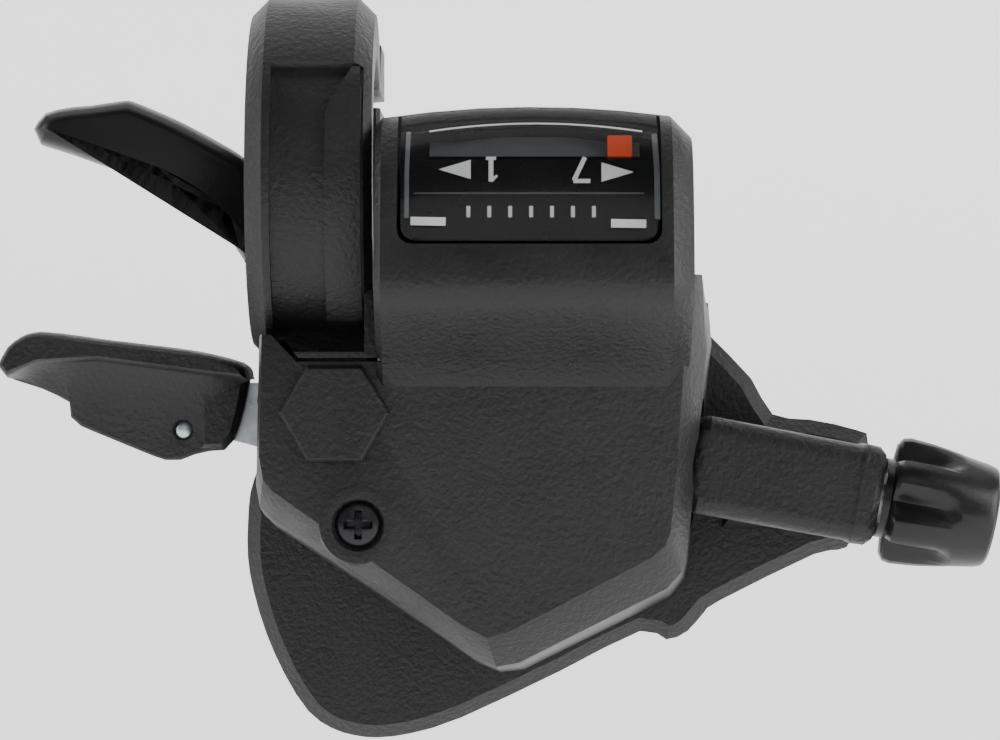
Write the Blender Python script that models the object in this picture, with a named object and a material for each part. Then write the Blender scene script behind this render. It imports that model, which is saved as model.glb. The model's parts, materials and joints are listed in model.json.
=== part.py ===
"""Thumb shifter for a right-hand flat handlebar, built as separate pieces on real joints.

Millimetres are used while shaping and turned into metres when a piece is made.
X runs along the handlebar towards the stem, Y from front to back, Z up.
The origin is the centre of the clamp bore. Outlines are (X, Z) unless a comment says otherwise.
"""
import math

import bmesh
import bpy
from mathutils import Matrix, Vector

MM = 0.001
GAP = 0.3            # clearance between neighbouring pieces
FIT = 0.15           # clearance of a piece that is pressed into its seat
WALL = 1.6           # wall of the moulded covers

# handlebar clamp, turned about the X axis
BAR_BORE_R = 11.15
BAND_R = 17.0
BAND_HALF_WIDTH = 5.7
BAND_CHAMFER = 1.6
BAND_STEPS = 72
BAR_CLEARANCE_R = 12.0
SPLIT_Z = (7.4, 9.0)
LUG_BOTTOM_Z = 2.6
LUG_TOP_Z = 13.7
LUG_END_Y = 26.4
BOLT_Y = 21.6
BOLT_R = 2.4

# the two lever pivots, both parallel to Y, and the cable line
MAIN_PIVOT = (17.2, -34.6)
RELEASE_PIVOT = (2.25, -21.65)
CABLE_Y = -3.0
CABLE_ANGLE = math.radians(-10.5)
CABLE_END = (52.1, CABLE_Y, -29.42)     # centre of the cable stop's end face
DRUM_R = 11.4                           # radius of the wound cable's centre line

# layers from front to back
FACE_Y = -12.0
SHOULDER_Y = -8.6
RIM_Y = 3.9
SLOT_Y = 1.6                            # the rim is cut back to here where the lever arm swings
PINION_Y = (-9.9, -8.7)
MECH_PLATE_Y = (-7.6, -6.4)
DRUM_Y = (-5.0, -1.0)
RATCHET_Y = (-0.7, 1.4)
ARM_Y = (2.2, 3.7)
BASE_FRONT_Y = 4.2
BASE_EDGE_Y = 5.6
BASE_PLATE_Y = (6.3, 7.5)
BASE_BACK_Y = 16.0
LEVER_BACK_Y = (17.5, 20.6)

# motion
INDICATOR_RATIO_MM = 10.0               # rack travel for each radian of the drum
RACK_PITCH = math.pi
RATCHET_TEETH = 24
RATCHET_R = 7.6

FACE_OUTLINE = [
    (-4.3, -14.5), (-4.55, -25.5), (-4.2, -27.6), (-3.4, -28.6), (13.7, -40.7), (16.0, -41.9),
    (17.9, -41.4), (30.8, -34.7), (32.1, -33.6), (32.6, -32.3), (33.1, -27.6), (33.8, -17.7),
    (33.6, -9.0), (6.8, -9.0), (6.8, -14.5),
]
RIM_OUTLINE = [
    (-5.0, -14.5), (-5.3, -29.6), (-5.0, -31.5), (-3.7, -32.8), (15.2, -45.5), (17.3, -46.3),
    (19.5, -46.0), (33.3, -39.2), (34.6, -37.5), (35.0, -36.0), (35.9, -28.1), (37.2, -15.3),
    (36.7, -9.0), (6.8, -9.0), (6.8, -14.5),
]
# (Y, Z) section of the indicator hump, closed on the bar side by the clearance cylinder
HUMP_SECTION = [
    (-10.4, 5.7), (-13.0, 6.0), (-15.2, 5.4), (-17.0, 4.2), (-18.5, 2.2), (-19.5, 0.0),
    (-20.4, -3.2), (-21.0, -6.5), (-21.5, -9.3), (-21.2, -11.0), (-20.0, -12.5), (-16.0, -15.5),
    (-13.4, -17.6), (-11.5, -19.8), (-6.0, -19.8), (-6.0, -8.0),
]
HUMP_X = (6.05, 34.4)
WINDOW_X = (8.1, 31.5)
WINDOW_BOTTOM_Z = -6.6
FOOT_OUTLINE = [(-3.2, -10.5), (-3.2, -14.2), (-1.0, -16.6), (6.2, -16.6), (6.2, -10.5)]

BASE_OUTLINE = [
    (-5.4, -14.4), (-5.8, -27.1), (-6.5, -29.3), (-6.75, -32.3), (-6.75, -35.5), (-6.2, -38.7),
    (-5.0, -42.7), (-3.2, -46.7), (-1.0, -50.1), (1.2, -51.7), (3.4, -52.4), (5.6, -52.6),
    (8.8, -52.2), (13.55, -50.7), (22.9, -46.3), (30.5, -42.5), (33.0, -43.3), (35.0, -42.5),
    (36.6, -40.7), (38.05, -39.6), (47.0, -35.2), (49.2, -34.8), (50.9, -33.3), (52.2, -24.9),
    (51.1, -23.4), (46.6, -22.4), (43.1, -21.9), (41.05, -18.5), (37.3, -14.6), (36.0, -13.3),
    (6.8, -13.3), (6.8, -14.4),
]

WIND_ARM_OUTLINE = [
    (-20.6, -20.6), (-17.0, -19.4), (-9.0, -18.9), (-4.6, -18.9), (-2.6, -20.0), (-0.9, -22.6),
    (1.2, -24.2), (5.0, -25.4), (11.6, -29.9), (15.0, -28.9), (20.0, -29.2), (24.0, -32.6),
    (30.6, -34.4), (31.6, -36.4), (30.2, -38.3), (23.2, -38.3), (19.4, -40.4), (15.2, -40.5),
    (12.2, -38.6), (3.0, -30.6), (-4.6, -25.2), (-8.0, -24.3), (-12.6, -24.9), (-20.4, -22.8),
]
PAD_TOP_LINE = [
    (-29.4, -17.3), (-28.5, -15.6), (-27.2, -14.6), (-26.0, -14.2), (-24.5, -14.2),
    (-20.2, -14.8), (-13.5, -15.6), (-10.3, -16.15), (-7.2, -17.0), (-6.4, -17.8),
]
PAD_WEB_LINE = [
    (-6.25, -18.7), (-6.8, -21.4), (-7.4, -23.7), (-8.0, -24.7), (-8.75, -25.3), (-10.6, -25.3),
    (-12.3, -26.0), (-13.3, -26.3), (-14.5, -26.05), (-17.8, -24.7), (-21.7, -23.1),
    (-22.9, -22.5), (-23.1, -20.6), (-25.5, -19.5), (-28.3, -18.6),
]
PAD_RIM_LINE = [
    (-6.25, -18.6), (-8.5, -18.4), (-11.0, -18.1), (-20.0, -16.9), (-25.5, -17.2), (-28.5, -18.4),
]
RELEASE_OUTLINE = [
    (-28.5, 5.9), (-27.3, 7.5), (-24.6, 8.1), (-22.8, 8.25), (-19.7, 8.7), (-18.7, 8.6),
    (-16.7, 7.8), (-14.1, 6.65), (-10.6, 4.8), (-8.4, 3.5), (-7.2, 2.4), (-6.4, 0.5),
    (-6.2, -3.0), (-6.8, -7.0), (-8.0, -6.8), (-9.1, -5.1), (-11.2, -2.75), (-13.3, -1.1),
    (-16.7, 0.7), (-21.1, 2.15), (-24.9, 3.5), (-27.8, 4.4),
]
RELEASE_NECK_OUTLINE = [
    (-7.6, 1.6), (-6.4, 0.5), (-6.2, -3.0), (-4.4, -8.0), (0.2, -15.0), (2.0, -16.4),
    (5.5, -17.7), (7.3, -20.4), (7.0, -24.0), (4.4, -26.5), (0.6, -26.4), (-2.4, -23.8),
    (-4.9, -18.0), (-6.6, -12.6), (-7.1, -8.6), (-8.0, -6.8),
]

WIND_PAWL_PIVOT = (29.0, -36.2)
HOLD_PAWL_PIVOT = (22.6, -23.4)


# ---------------------------------------------------------------- materials
def finish(name, colour, roughness, metallic=0.0):
    material = bpy.data.materials.new(name)
    material.use_nodes = True
    shader = material.node_tree.nodes["Principled BSDF"]
    shader.inputs["Base Color"].default_value = (*colour, 1.0)
    shader.inputs["Roughness"].default_value = roughness
    shader.inputs["Metallic"].default_value = metallic
    material.diffuse_color = (*colour, 1.0)
    return material


def textured_black():
    return finish("textured_black", (0.028, 0.028, 0.030), 0.58)


def gloss_black():
    return finish("gloss_black", (0.016, 0.016, 0.018), 0.25)


def lever_black():
    return finish("lever_black", (0.022, 0.022, 0.024), 0.42)


def window_clear():
    return finish("window_clear", (0.030, 0.032, 0.034), 0.06)


def dial_black():
    return finish("dial_black", (0.004, 0.004, 0.005), 0.30)


def flag_orange():
    return finish("flag_orange", (0.76, 0.07, 0.03), 0.45)


def slider_grey():
    return finish("slider_grey", (0.05, 0.05, 0.055), 0.55)


def acetal_grey():
    return finish("acetal_grey", (0.30, 0.31, 0.32), 0.50)


def zinc_steel():
    return finish("zinc_steel", (0.62, 0.66, 0.67), 0.32, 1.0)


def black_steel():
    return finish("black_steel", (0.030, 0.030, 0.033), 0.30, 1.0)


def spring_steel():
    return finish("spring_steel", (0.48, 0.48, 0.50), 0.28, 1.0)


def brass():
    return finish("brass", (0.70, 0.52, 0.22), 0.35, 1.0)


def plug_rubber():
    return finish("plug_rubber", (0.020, 0.020, 0.020), 0.80)


# ---------------------------------------------------------------- shaping
def polar(centre, radius, degrees):
    angle = math.radians(degrees)
    return (centre[0] + radius * math.cos(angle), centre[1] + radius * math.sin(angle))


def arc(centre, radius, start, end, steps):
    return [polar(centre, radius, start + (end - start) * i / steps) for i in range(steps + 1)]


def inset(outline, distance):
    """The outline moved inwards by distance, with mitred corners."""
    area = sum(
        a[0] * b[1] - b[0] * a[1] for a, b in zip(outline, outline[1:] + outline[:1])
    )
    side = 1.0 if area > 0 else -1.0
    moved = []
    for i, point in enumerate(outline):
        here = Vector(point)
        before = (here - Vector(outline[i - 1])).normalized()
        after = (Vector(outline[(i + 1) % len(outline)]) - here).normalized()
        normal_a = Vector((-before.y, before.x)) * side
        normal_b = Vector((-after.y, after.x)) * side
        middle = (normal_a + normal_b).normalized()
        moved.append(tuple(here + middle * (distance / max(middle.dot(normal_a), 0.35))))
    return moved


def blend(first, second, amount):
    return [
        (a[0] + (b[0] - a[0]) * amount, a[1] + (b[1] - a[1]) * amount)
        for a, b in zip(first, second)
    ]


def skin(rings, closed=False):
    """A solid through rings of equal length; closed joins the last ring to the first."""
    bm = bmesh.new()
    loops = [[bm.verts.new(point) for point in ring] for ring in rings]
    pairs = list(zip(loops, loops[1:] + loops[:1])) if closed else list(zip(loops, loops[1:]))
    for low, high in pairs:
        for i in range(len(low)):
            j = (i + 1) % len(low)
            bm.faces.new((low[i], low[j], high[j], high[i]))
    if not closed:
        bm.faces.new(loops[0])
        bm.faces.new(loops[-1])
    bmesh.ops.recalc_face_normals(bm, faces=bm.faces)
    return bm


def rounded(outline, steps=3):
    """The closed outline as a smooth curve; its first and last points stay corners."""
    return eased(outline, steps)


def resampled(points, count):
    """The open line through points as count points at equal distances."""
    points = [Vector(p) for p in points]
    lengths = [(b - a).length for a, b in zip(points, points[1:])]
    total = sum(lengths)
    result = []
    for i in range(count):
        wanted = total * i / (count - 1)
        for a, b, length in zip(points, points[1:], lengths):
            if wanted <= length or b == points[-1]:
                result.append(tuple(a.lerp(b, min(wanted / length, 1.0))))
                break
            wanted -= length
    return result


def along_y(outline, front, back):
    return skin([[(x, y, z) for x, z in outline] for y in (front, back)])


def loft_y(sections):
    """A solid through (Y, outline) sections."""
    return skin([[(x, y, z) for x, z in outline] for y, outline in sections])


def along_x(section, left, right):
    """A solid from a (Y, Z) section."""
    return skin([[(x, y, z) for y, z in section] for x in (left, right)])


def along_z(section, bottom, top):
    """A solid from an (X, Y) section."""
    return skin([[(x, y, z) for x, y in section] for z in (bottom, top)])


def block(x, y, z):
    return along_y([(x[0], z[0]), (x[1], z[0]), (x[1], z[1]), (x[0], z[1])], y[0], y[1])


def turned(profile, place, steps=32, hollow=False):
    """A solid of revolution from (radius, length) points; place maps the Z axis to the real one."""
    bm = bmesh.new()
    rows = []
    for radius, length in profile:
        if radius == 0.0:
            rows.append([bm.verts.new(place @ Vector((0.0, 0.0, length)))] * steps)
            continue
        row = []
        for i in range(steps):
            angle = 2.0 * math.pi * i / steps
            point = Vector((radius * math.cos(angle), radius * math.sin(angle), length))
            row.append(bm.verts.new(place @ point))
        rows.append(row)
    pairs = list(zip(rows, rows[1:])) + ([(rows[-1], rows[0])] if hollow else [])
    for low, high in pairs:
        for i in range(steps):
            j = (i + 1) % steps
            corners = []
            for vert in (low[i], low[j], high[j], high[i]):
                if vert not in corners:
                    corners.append(vert)
            if len(corners) > 2:
                bm.faces.new(corners)
    bmesh.ops.recalc_face_normals(bm, faces=bm.faces)
    return bm


def on_y(centre):
    """Placement of a turned piece whose length runs along Y through (X, Z) centre."""
    turn = Matrix.Rotation(math.radians(-90.0), 4, "X")
    return Matrix.Translation((centre[0], 0.0, centre[1])) @ turn


def on_x():
    return Matrix.Rotation(math.radians(90.0), 4, "Y")


def on_z(centre):
    return Matrix.Translation((centre[0], centre[1], 0.0))


def on_cable():
    """Length along the cable line, measured from the end face of the cable stop."""
    turn = Matrix.Rotation(math.radians(90.0) - CABLE_ANGLE, 4, "Y")
    return Matrix.Translation(CABLE_END) @ turn


def rod(place, radius, start, end, steps=24):
    return turned([(0.0, start), (radius, start), (radius, end), (0.0, end)], place, steps)


def tube(place, inner, outer, start, end, steps=32):
    profile = [(inner, start), (outer, start), (outer, end), (inner, end)]
    return turned(profile, place, steps, hollow=True)


def wire(points, radius, sides=6):
    """Round wire through the points, with flat ends."""
    points = [Vector(p) for p in points]
    tangents = []
    for i in range(len(points)):
        low = points[max(i - 1, 0)]
        high = points[min(i + 1, len(points) - 1)]
        tangents.append((high - low).normalized())
    side = tangents[0].orthogonal().normalized()
    rings = []
    for point, tangent in zip(points, tangents):
        side = (side - tangent * side.dot(tangent)).normalized()
        other = tangent.cross(side)
        ring = []
        for i in range(sides):
            angle = 2.0 * math.pi * i / sides
            ring.append(point + (side * math.cos(angle) + other * math.sin(angle)) * radius)
        rings.append(ring)
    return skin(rings)


def combine(body, tool, operation):
    """Exact boolean of two shapes; both are used up."""
    parts = []
    for shape in (body, tool):
        mesh = bpy.data.meshes.new("work")
        shape.to_mesh(mesh)
        shape.free()
        part = bpy.data.objects.new("work", mesh)
        bpy.context.scene.collection.objects.link(part)
        part.hide_render = True
        part.display_type = "WIRE"
        parts.append(part)
    modifier = parts[0].modifiers.new("boolean", "BOOLEAN")
    modifier.operation = operation
    modifier.solver = "EXACT"
    modifier.object = parts[1]
    result = bmesh.new()
    result.from_object(parts[0], bpy.context.evaluated_depsgraph_get())
    for part in parts:
        mesh = part.data
        bpy.data.objects.remove(part)
        bpy.data.meshes.remove(mesh)
    bmesh.ops.remove_doubles(result, verts=result.verts, dist=0.0001)
    bmesh.ops.dissolve_degenerate(result, edges=result.edges, dist=0.0001)
    return result


def add(body, *tools):
    for tool in tools:
        body = combine(body, tool, "UNION")
    return body


def cut(body, *tools):
    for tool in tools:
        body = combine(body, tool, "DIFFERENCE")
    return body


def keep(body, tool):
    return combine(body, tool, "INTERSECT")


def piece(name, shape, material, origin=(0.0, 0.0, 0.0)):
    """One named object with its origin at the given point, in metres."""
    origin = Vector(origin)
    for vert in shape.verts:
        vert.co = (vert.co - origin) * MM
    mesh = bpy.data.meshes.new(name)
    shape.to_mesh(mesh)
    shape.free()
    mesh.materials.append(material)
    mesh.shade_smooth()
    mesh.set_sharp_from_angle(angle=math.radians(32.0))
    result = bpy.data.objects.new(name, mesh)
    bpy.context.scene.collection.objects.link(result)
    result.location = origin * MM
    return result


def at_main(y=0.0):
    return (MAIN_PIVOT[0], y, MAIN_PIVOT[1])


def at_release(y=0.0):
    return (RELEASE_PIVOT[0], y, RELEASE_PIVOT[1])


# ---------------------------------------------------------------- covers
def eased(points, steps):
    """Smooth curve through the points."""
    curve = []
    for i in range(len(points) - 1):
        before, here = Vector(points[max(i - 1, 0)]), Vector(points[i])
        there, after = Vector(points[i + 1]), Vector(points[min(i + 2, len(points) - 1)])
        for j in range(steps):
            t = j / steps
            point = 2.0 * here + (there - before) * t
            point += (2.0 * before - 5.0 * here + 4.0 * there - after) * t ** 2
            point += (3.0 * here - before - 3.0 * there + after) * t ** 3
            curve.append(tuple(point * 0.5))
    return curve + [points[-1]]


def hump(shrink):
    """The indicator hump as a full solid, moved inwards by shrink."""
    outline = HUMP_SECTION[:1] + eased(HUMP_SECTION[1:14], 3) + HUMP_SECTION[14:]
    section = inset(outline, shrink)
    soft = inset(outline, shrink + 0.6)
    bevelled = inset(outline, shrink + max(1.8 - shrink, 0.3))
    left, right = HUMP_X[0] + shrink, HUMP_X[1] - shrink
    stations = [(left, soft), (left + 0.6, section)]
    stations += [(left + 0.6 + (right - left - 2.5) * i / 6, section) for i in range(1, 7)]
    stations += [(right, bevelled)]
    middle = 20.2
    rings = []
    for x, outline in stations:
        drop = 1.1 * ((x - middle) / 14.1) ** 2
        rings.append([(x, y, z - drop * min(max((z + 6.5) / 12.5, 0.0), 1.0)) for y, z in outline])
    return skin(rings)


def bar_cylinder(radius, left, right):
    return turned([(0.0, left), (radius, left), (radius, right), (0.0, right)], on_x(), BAND_STEPS)


def window_box(margin):
    low_x, high_x = WINDOW_X[0] + margin, WINDOW_X[1] - margin
    low_z = WINDOW_BOTTOM_Z + margin
    corner = 1.3
    outline = [(high_x, 9.0), (low_x, 9.0)]
    outline += arc((low_x + corner, low_z + corner), corner, 180, 270, 4)
    outline += arc((high_x - corner, low_z + corner), corner, 270, 360, 4)
    return along_y(outline, -26.0, -13.6 - margin)


def front_cover():
    mid_outline = blend(RIM_OUTLINE, FACE_OUTLINE, 0.35)
    shell = loft_y([(RIM_Y, RIM_OUTLINE), (SHOULDER_Y, mid_outline), (FACE_Y, FACE_OUTLINE)])
    screw = cover_screw_centre()
    top = FACE_Y - 0.06
    boss = turned([(0.0, top), (3.5, top), (4.0, -8.7), (4.3, -5.9), (0.0, -5.9)], on_y(screw))
    shell = add(shell, hump(0.0), boss)
    shell = cut(
        shell,
        bar_cylinder(BAR_CLEARANCE_R, 5.0, 40.0),
        bar_cylinder(BAND_R + 0.35, -8.0, 6.04),
        along_y([(-3.6, -9.0), (-3.6, -14.4), (-1.2, -16.95), (6.6, -16.95), (6.6, -9.0)], -14.0, 9.0),
    )
    cavity_mid = inset(mid_outline, WALL)
    cavity = loft_y([
        (RIM_Y + 2.0, inset(RIM_OUTLINE, WALL)),
        (SHOULDER_Y, cavity_mid),
        (FACE_Y + WALL, inset(blend(RIM_OUTLINE, FACE_OUTLINE, 0.70), WALL)),
    ])
    cavity = add(cavity, hump(WALL))
    cavity = cut(
        cavity,
        bar_cylinder(BAR_CLEARANCE_R + WALL, 0.0, 42.0),
        bar_cylinder(BAND_R + 0.35 + WALL, -10.0, 7.58),
        turned([(0.0, -13.0), (3.2, -13.0), (3.2, -8.1), (0.0, -8.1)], on_y(screw)),
    )
    shell = cut(shell, cavity, window_box(0.0))
    shell = cut(
        shell,
        block((-10.0, 8.0), (SLOT_Y, 8.0), (-50.0, -10.0)),
        block((-2.1, 6.1), (-10.4, 8.0), (-18.9, -15.0)),
        rod(on_cable(), 6.1, -30.0, -8.0),
        rod(on_y(screw), 2.4, -14.0, -11.2),
        rod(on_y(screw), 1.5, -14.0, -5.0),
        rod(on_y(RELEASE_PIVOT), 2.6, -14.0, -8.0),
        rod(on_cable(), 2.3, -62.0, -52.0),
    )
    return shell


def cover_screw_centre():
    return (4.38, -31.7)


def bottom_cover():
    outline = BASE_OUTLINE[:1] + rounded(BASE_OUTLINE[1:29], 2) + BASE_OUTLINE[29:]
    shell = loft_y([
        (BASE_FRONT_Y, inset(outline, 1.3)),
        (BASE_EDGE_Y, outline),
        (BASE_BACK_Y - 2.6, inset(outline, 0.3)),
        (BASE_BACK_Y - 0.8, inset(outline, 0.8)),
        (BASE_BACK_Y, inset(outline, 1.4)),
    ])
    cavity = along_y(inset(BASE_OUTLINE, 1.8), BASE_EDGE_Y + 0.3, BASE_BACK_Y - WALL)
    keep_out = [
        tube(on_y(p), 0.001, 2.6, BASE_EDGE_Y - 1.0, BASE_BACK_Y) for p in base_screw_centres()
    ]
    cavity = cut(cavity, bar_cylinder(BAND_R + 0.35 + WALL, -10.0, 8.4), *keep_out)
    opening = along_y(inset(RIM_OUTLINE, 2.5), BASE_FRONT_Y - 1.0, BASE_EDGE_Y + 1.0)
    opening = cut(opening, bar_cylinder(BAND_R + 0.35 + WALL, -10.0, 8.4))
    shell = cut(shell, bar_cylinder(BAND_R + 0.35, -8.0, 6.6))
    shell = cut(shell, bar_cylinder(BAR_CLEARANCE_R, 6.4, 40.0))
    shell = cut(shell, cavity)
    shell = cut(shell, opening)
    for centre in base_screw_centres():
        start = BASE_FRONT_Y - 1.0 if centre[0] > 40.0 else 6.9
        shell = cut(shell, rod(on_y(centre), 1.25, start, BASE_BACK_Y + 1.0))
        shell = cut(shell, rod(on_y(centre), 2.5, BASE_BACK_Y - 1.5, BASE_BACK_Y + 1.0))
    shell = cut(shell, rod(on_y(RELEASE_PIVOT), 3.4, BASE_BACK_Y - 3.0, BASE_BACK_Y + 1.0))
    shell = cut(shell, rod(on_y(MAIN_PIVOT), 2.3, BASE_BACK_Y - 3.0, BASE_BACK_Y + 1.0))
    return shell


def base_screw_centres():
    return [(0.6, -44.2), (33.6, -39.4), (46.4, -28.6)]


def boss_ring(place, length, half, corner):
    """Rounded square across the cable line."""
    flat = half - corner
    ring = []
    for quarter, (x, y) in enumerate(((flat, flat), (-flat, flat), (-flat, -flat), (flat, -flat))):
        ring += arc((x, y), corner, 90.0 * quarter, 90.0 * quarter + 90.0, 5)
    return [place @ Vector((x, y, length)) for x, y in ring]


def cable_stop():
    place = on_cable()
    stop = skin([
        boss_ring(place, length, half, corner) for length, half, corner in (
            (-17.5, 4.1, 1.6), (-16.5, 4.55, 1.8), (-2.3, 4.45, 1.8), (-2.0, 4.65, 2.0),
            (-0.7, 4.6, 2.2), (0.0, 4.0, 2.4),
        )
    ])
    foot = loft_y([
        (0.0, [(38.6, -31.6), (50.0, -33.2), (50.6, -25.4), (38.6, -23.4)]),
        (RIM_Y, [(38.2, -32.6), (48.6, -32.9), (50.0, -26.0), (39.0, -23.4)]),
    ])
    stop = add(stop, foot)
    stop = cut(
        stop,
        rod(place, 1.0, -20.0, 2.0, 16),
        rod(place, 3.65, -8.6, 2.0),
        rod(on_y(base_screw_centres()[2]), 1.25, 1.2, 6.0),
    )
    return stop


# ---------------------------------------------------------------- clamp
def clamp_band():
    half, chamfer = BAND_HALF_WIDTH, BAND_CHAMFER
    ring = turned(
        [
            (BAR_BORE_R, 0.4 - half), (BAR_BORE_R + 0.4, -half), (BAND_R - chamfer, -half),
            (BAND_R, chamfer - half), (BAND_R, half - chamfer), (BAND_R - chamfer, half),
            (BAR_BORE_R + 0.4, half), (BAR_BORE_R, half - 0.4),
        ],
        on_x(), BAND_STEPS, hollow=True,
    )
    lug = [(-half, 12.0), (half, 12.0), (half, LUG_END_Y - 3.4), (3.0, LUG_END_Y)]
    lug += [(-3.0, LUG_END_Y), (-half, LUG_END_Y - 3.4)]
    body = add(ring, along_z(lug, LUG_BOTTOM_Z, LUG_TOP_Z), along_y(FOOT_OUTLINE, -11.9, RIM_Y))
    body = add(body, block((-1.7, 5.7), (-10.0, 1.2), (-18.3, -15.6)))
    bore = bar_cylinder(BAR_BORE_R, -9.0, 9.0)
    body = cut(body, bore)
    body = cut(body, block((-9.0, 9.0), (5.0, 30.0), SPLIT_Z))
    body = cut(body, rod(on_z((0.0, BOLT_Y)), BOLT_R + GAP, -10.0, 30.0))
    recess = [(-r * math.cos(a), r * math.sin(a)) for r, a in band_arc(BAND_R - 0.9, 36, -62)]
    recess += [(-r * math.cos(a), r * math.sin(a)) for r, a in band_arc(BAND_R + 3.0, -62, 36)]
    body = cut(body, along_x(recess, -3.4, 4.95))
    return add(body, clamp_rib())


def band_arc(radius, start, end):
    steps = 20
    return [(radius, math.radians(start + (end - start) * i / steps)) for i in range(steps + 1)]


def clamp_rib():
    """Raised rib in the front recess, pointed at its upper end."""
    rings = []
    for degrees, left, right in (
        (34.5, 3.9, 4.6), (28.0, 2.9, 4.75), (19.5, 1.6, 4.75), (0.0, 1.5, 4.75),
        (-20.0, 1.5, 4.75), (-38.0, 1.5, 4.75), (-52.0, 1.5, 4.75),
    ):
        a = math.radians(degrees)
        ring = []
        for x, radius in ((left, 15.6), (right, 15.6), (right, 16.85), (left, 16.85)):
            ring.append((x, -radius * math.cos(a), radius * math.sin(a)))
        rings.append(ring)
    return skin(rings)


def clamp_bolt():
    place = on_z((0.0, BOLT_Y))
    top = LUG_TOP_Z + FIT
    bolt = turned(
        [
            (0.0, -3.2), (BOLT_R - 0.4, -3.2), (BOLT_R, -2.8), (BOLT_R, top), (4.2, top),
            (4.2, top + 3.0), (3.8, top + 3.5), (0.0, top + 3.5),
        ],
        place, 28,
    )
    socket = [polar((0.0, BOLT_Y), 2.3, 60 * i) for i in range(6)]
    return cut(bolt, along_z(socket, top + 1.0, top + 6.0))


def clamp_nut():
    top = LUG_BOTTOM_Z - FIT
    hexagon = [polar((0.0, BOLT_Y), 4.45, 60 * i) for i in range(6)]
    nut = along_z(hexagon, top - 3.6, top)
    return cut(nut, rod(on_z((0.0, BOLT_Y)), BOLT_R + GAP, -10.0, 10.0))


# ---------------------------------------------------------------- fixed small parts
def hex_cap():
    outer = [polar(RELEASE_PIVOT, 5.0, 60 * i) for i in range(6)]
    top = [polar(RELEASE_PIVOT, 4.7, 60 * i) for i in range(6)]
    cap = loft_y([(FACE_Y - FIT, outer), (FACE_Y - 0.45, outer), (FACE_Y - 0.8, top)])
    stem = rod(on_y(RELEASE_PIVOT), 2.3, FACE_Y - 0.6, FACE_Y + 1.4)
    return add(cap, stem)


def phillips_head(centre, face, depth_sign, radius):
    """Cross recess cutter, opening at face and going in along depth_sign."""
    long, wide = radius * 0.62, radius * 0.16
    cross = [
        (long, wide), (wide, wide), (wide, long), (-wide, long), (-wide, wide), (-long, wide),
        (-long, -wide), (-wide, -wide), (-wide, -long), (wide, -long), (wide, -wide), (long, -wide),
    ]
    outline = [(centre[0] + x, centre[1] + z) for x, z in cross]
    ends = sorted((face - 0.5 * depth_sign, face + 1.1 * depth_sign))
    return along_y(outline, ends[0], ends[1])


def cover_screw():
    centre = cover_screw_centre()
    top = FACE_Y - 0.15
    screw = turned(
        [
            (0.0, top), (1.1, top + 0.06), (1.8, top + 0.28), (2.1, top + 0.6), (2.1, -11.35),
            (1.2, -11.35), (1.2, -5.6), (0.0, -5.6),
        ],
        on_y(centre), 28,
    )
    return cut(screw, phillips_head(centre, top, 1.0, 2.1))


def base_screw(centre):
    face = BASE_BACK_Y - 0.1
    start = CABLE_Y + 4.6 if centre[0] > 40.0 else 8.0
    screw = turned(
        [
            (0.0, face), (1.5, face - 0.2), (2.2, face - 0.8), (2.2, face - 1.25),
            (0.95, face - 1.25), (0.95, start), (0.0, start),
        ],
        on_y(centre), 24,
    )
    return cut(screw, phillips_head(centre, face, -1.0, 2.2))


def main_axle():
    """Axle fixed in the base plate, with a flange that carries the return spring."""
    return turned(
        [
            (0.0, -10.3), (1.5, -10.3), (1.7, -10.1), (1.7, -8.4), (2.0, -8.4), (2.0, 5.9),
            (4.2, 5.9), (4.2, 8.0), (2.0, 8.0), (2.0, BASE_BACK_Y - 0.2), (0.0, BASE_BACK_Y - 0.2),
        ],
        on_y(MAIN_PIVOT), 28,
    )


def lens():
    shape = keep(hump(0.0), window_box(GAP))
    return cut(shape, hump(1.2))


def dial():
    shape = keep(hump(1.5), window_box(GAP))
    shape = cut(shape, hump(2.1))
    return cut(shape, block((0.0, 40.0), (-30.0, -10.0), (1.0, 12.0)))


def base_plate():
    """Steel plate in the back cover that carries the pivots."""
    outline = [
        (-3.0, -20.4), (8.9, -19.2), (27.5, -18.6), (34.0, -22.4), (37.0, -33.0), (27.0, -40.4),
        (17.8, -44.6), (9.8, -43.6), (5.0, -39.0), (-2.4, -34.0),
    ]
    plate = along_y(outline, BASE_PLATE_Y[0], BASE_PLATE_Y[1])
    return cut(
        plate,
        rod(on_y(MAIN_PIVOT), 4.5, 5.0, 9.0),
        rod(on_y(RELEASE_PIVOT), 2.9, 5.0, 9.0),
        rod(on_y(HOLD_PAWL_PIVOT), 1.3, 5.0, 9.0),
    )


def mech_plate():
    """Steel plate behind the front cover that takes its screw and the front end of the pivots."""
    outline = [
        (-1.6, -21.0), (8.4, -20.2), (26.0, -20.0), (30.0, -24.0), (29.0, -33.6), (17.8, -38.6),
        (13.9, -37.6), (4.0, -30.4), (-1.6, -27.0),
    ]
    screw = cover_screw_centre()
    tab = rod(on_y(screw), 2.6, MECH_PLATE_Y[0], MECH_PLATE_Y[1])
    plate = add(along_y(outline, MECH_PLATE_Y[0], MECH_PLATE_Y[1]), tab)
    return cut(
        plate,
        rod(on_y(screw), 5.0, -9.0, -7.6),
        rod(on_y(screw), 1.5, -9.0, -5.0),
        rod(on_y(MAIN_PIVOT), 4.9, -9.0, -5.0),
        rod(on_y(RELEASE_PIVOT), 1.3, -9.0, -5.0),
    )


def hold_pawl_pin():
    return turned(
        [
            (0.0, -0.72), (1.0, -0.72), (1.0, 8.3), (0.0, 8.3),
        ],
        on_y(HOLD_PAWL_PIVOT), 16,
    )


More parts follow.
